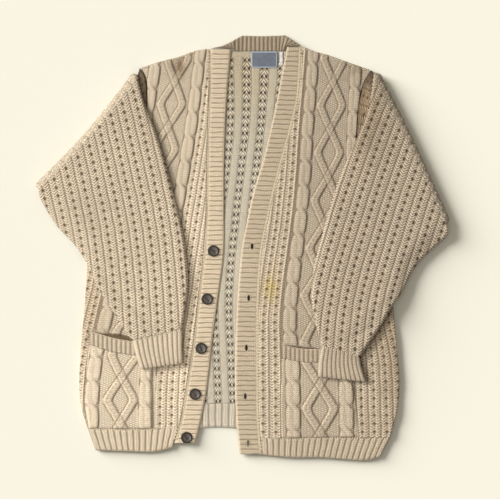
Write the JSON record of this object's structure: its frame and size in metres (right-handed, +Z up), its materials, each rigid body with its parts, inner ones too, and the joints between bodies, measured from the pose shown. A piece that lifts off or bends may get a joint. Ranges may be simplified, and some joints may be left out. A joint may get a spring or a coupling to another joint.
{
  "type": "fisherman cardigan",
  "caption": "Heavy cream wool cardigan with rope cables, diamond lattice, eyelet ribs, welted pockets and a button front, laid flat with both sleeves folded down over the fronts.",
  "frame": {"origin": "on the surface the cardigan lies on, under the middle of its bounding box", "axes": "+Z up off the surface; +Y from the hem to the collar; +X to the wearer's left, the side with the buttonholes"},
  "size_m": [0.7209, 0.7435, 0.0226],
  "materials": {
    "back_panel": "heavy knitted wool, plain columns between eyelet pairs",
    "back_hem": "ribbed knitted wool",
    "neck_band": "ribbed knitted wool",
    "right_band": "ribbed knitted wool",
    "left_band": "ribbed knitted wool, slightly yellowed",
    "right_front": "heavy knitted wool, rope cables, diamond lattice and eyelet ribs",
    "right_front_hem": "ribbed knitted wool",
    "right_pocket": "heavy knitted wool, rope cables and diamond lattice",
    "right_pocket_welt": "ribbed knitted wool",
    "right_sleeve": "heavy knitted wool, eyelet ribs",
    "right_cuff": "ribbed knitted wool",
    "left_front": "heavy knitted wool, rope cables, diamond lattice and eyelet ribs, one yellow stain",
    "left_front_hem": "ribbed knitted wool",
    "left_pocket": "heavy knitted wool, rope cables and diamond lattice",
    "left_pocket_welt": "ribbed knitted wool",
    "left_sleeve": "heavy knitted wool, eyelet ribs",
    "left_cuff": "ribbed knitted wool",
    "button": "dark horn-like button, softly polished",
    "neck_label": "blank woven label, pale blue-grey",
    "care_tag": "blank white tape"
  },
  "bodies": {
    "root": {"back_panel": "back_panel", "back_hem": "back_hem", "neck_band": "neck_band", "right_band": "right_band", "left_band": "left_band", "right_front": "right_front", "right_front_hem": "right_front_hem", "right_pocket": "right_pocket", "right_pocket_welt": "right_pocket_welt", "right_sleeve": "right_sleeve", "right_cuff": "right_cuff", "left_front": "left_front", "left_front_hem": "left_front_hem", "left_pocket": "left_pocket", "left_pocket_welt": "left_pocket_welt", "left_sleeve": "left_sleeve", "left_cuff": "left_cuff", "button_1": "button", "button_2": "button", "button_3": "button", "button_4": "button", "button_5": "button", "neck_label": "neck_label", "care_tag": "care_tag"}
  },
  "joints": []
}
